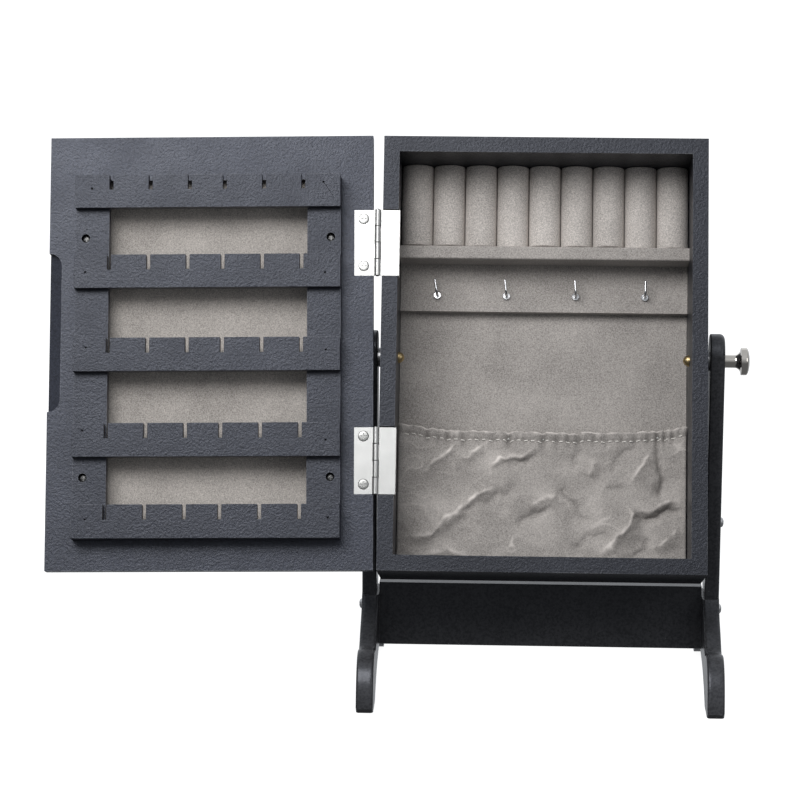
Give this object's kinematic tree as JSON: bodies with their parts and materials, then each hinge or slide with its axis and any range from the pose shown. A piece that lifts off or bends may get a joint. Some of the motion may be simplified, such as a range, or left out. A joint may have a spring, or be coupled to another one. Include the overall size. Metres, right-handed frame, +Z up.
{
  "type": "tabletop jewelry armoire",
  "caption": "Tabletop jewelry armoire: shallow velvet-lined cabinet that tilts between two posts, with a hinged mirror door, slat rack, ring rolls, hooks and a gathered pocket.",
  "frame": {"origin": "on the floor, midway between the front and rear toes and at the middle of the overall width as stored, with the door swung fully open", "axes": "+Z up, +X to the right of someone facing the open cabinet, -Y towards them; the pivot line is parallel to X"},
  "size_m": [0.4714, 0.19, 0.3704],
  "materials": {
    "stand_black": "gloss black lacquer",
    "dowel_wood": "plain beech",
    "stand_screw": "zinc plated",
    "cabinet_black": "satin black lacquer",
    "back_board": "satin black lacquer",
    "velvet_board": "board wrapped in grey-taupe velvet",
    "velvet_roll": "grey-taupe velvet over foam",
    "hook_chrome": "polished",
    "pocket_velvet": "grey-taupe velvet, gathered",
    "elastic": "woven elastic",
    "hinge_nickel": "bright nickel plated",
    "hinge_screw": "nickel plated",
    "bolt_brass": "dulled brass",
    "washer_steel": "plain",
    "door_black": "sprayed black, fine texture",
    "mirror_glass": "silvered glass",
    "door_velvet": "board wrapped in grey-beige velvet",
    "rack_black": "satin black lacquer",
    "rack_screw": "zinc plated",
    "brad_steel": "plain",
    "knob_nickel": "polished nickel"
  },
  "bodies": {
    "stand": {"foot_left": "stand_black", "foot_right": "stand_black", "post_left": "stand_black", "post_right": "stand_black", "stretcher": "stand_black", "stretcher_dowels": "dowel_wood", "post_screw_left": "stand_screw", "post_screw_right": "stand_screw", "foot_screw_left": "stand_screw", "foot_screw_right": "stand_screw"},
    "cabinet": {"side_left": "cabinet_black", "side_right": "cabinet_black", "top_board": "cabinet_black", "bottom_board": "cabinet_black", "back_panel": "back_board", "back_lining": "velvet_board", "ring_shelf": "velvet_board", "ring_roll_1": "velvet_roll", "ring_roll_2": "velvet_roll", "ring_roll_3": "velvet_roll", "ring_roll_4": "velvet_roll", "ring_roll_5": "velvet_roll", "ring_roll_6": "velvet_roll", "ring_roll_7": "velvet_roll", "ring_roll_8": "velvet_roll", "ring_roll_9": "velvet_roll", "hook_board": "velvet_board", "hook_1": "hook_chrome", "hook_2": "hook_chrome", "hook_3": "hook_chrome", "hook_4": "hook_chrome", "pocket": "pocket_velvet", "pocket_elastic": "elastic", "hinge_frame_leaf_upper": "hinge_nickel", "hinge_frame_leaf_lower": "hinge_nickel", "hinge_pin_upper": "hinge_nickel", "hinge_pin_lower": "hinge_nickel", "hinge_frame_screws": "hinge_screw", "pivot_bolt_left": "bolt_brass", "pivot_bolt_right": "bolt_brass", "pivot_washer_left": "washer_steel", "pivot_washer_right": "washer_steel"},
    "door": {"door_board": "door_black", "mirror": "mirror_glass", "door_lining": "door_velvet", "stile_hinge": "rack_black", "stile_free": "rack_black", "slat_1": "rack_black", "slat_2": "rack_black", "slat_3": "rack_black", "slat_4": "rack_black", "slat_5": "rack_black", "rack_screws": "rack_screw", "rack_brads": "brad_steel", "hinge_door_leaf_upper": "hinge_nickel", "hinge_door_leaf_lower": "hinge_nickel", "hinge_door_screws": "hinge_screw"},
    "knob_left": {"knob_left": "knob_nickel"},
    "knob_right": {"knob_right": "knob_nickel"}
  },
  "joints": [
    {"name": "cabinet_tilt", "type": "hinge", "parent": "stand", "child": "cabinet", "pos_m": [0.09711, 0, 0.22198], "axis": [-1, 0, 0], "range_deg": [-19.7, 20.3]},
    {"name": "door_swing", "type": "hinge", "parent": "cabinet", "child": "door", "pos_m": [-0.01379, -0.035, 0.23324], "axis": [-0.0087, 0.3371, 0.9414], "range_deg": [0, 180]},
    {"name": "knob_left_turn", "type": "hinge", "parent": "cabinet", "child": "knob_left", "pos_m": [-0.03289, 0, 0.22198], "axis": [1, 0, 0], "continuous": true},
    {"name": "knob_right_turn", "type": "hinge", "parent": "cabinet", "child": "knob_right", "pos_m": [0.22711, 0, 0.22198], "axis": [1, 0, 0], "continuous": true}
  ]
}
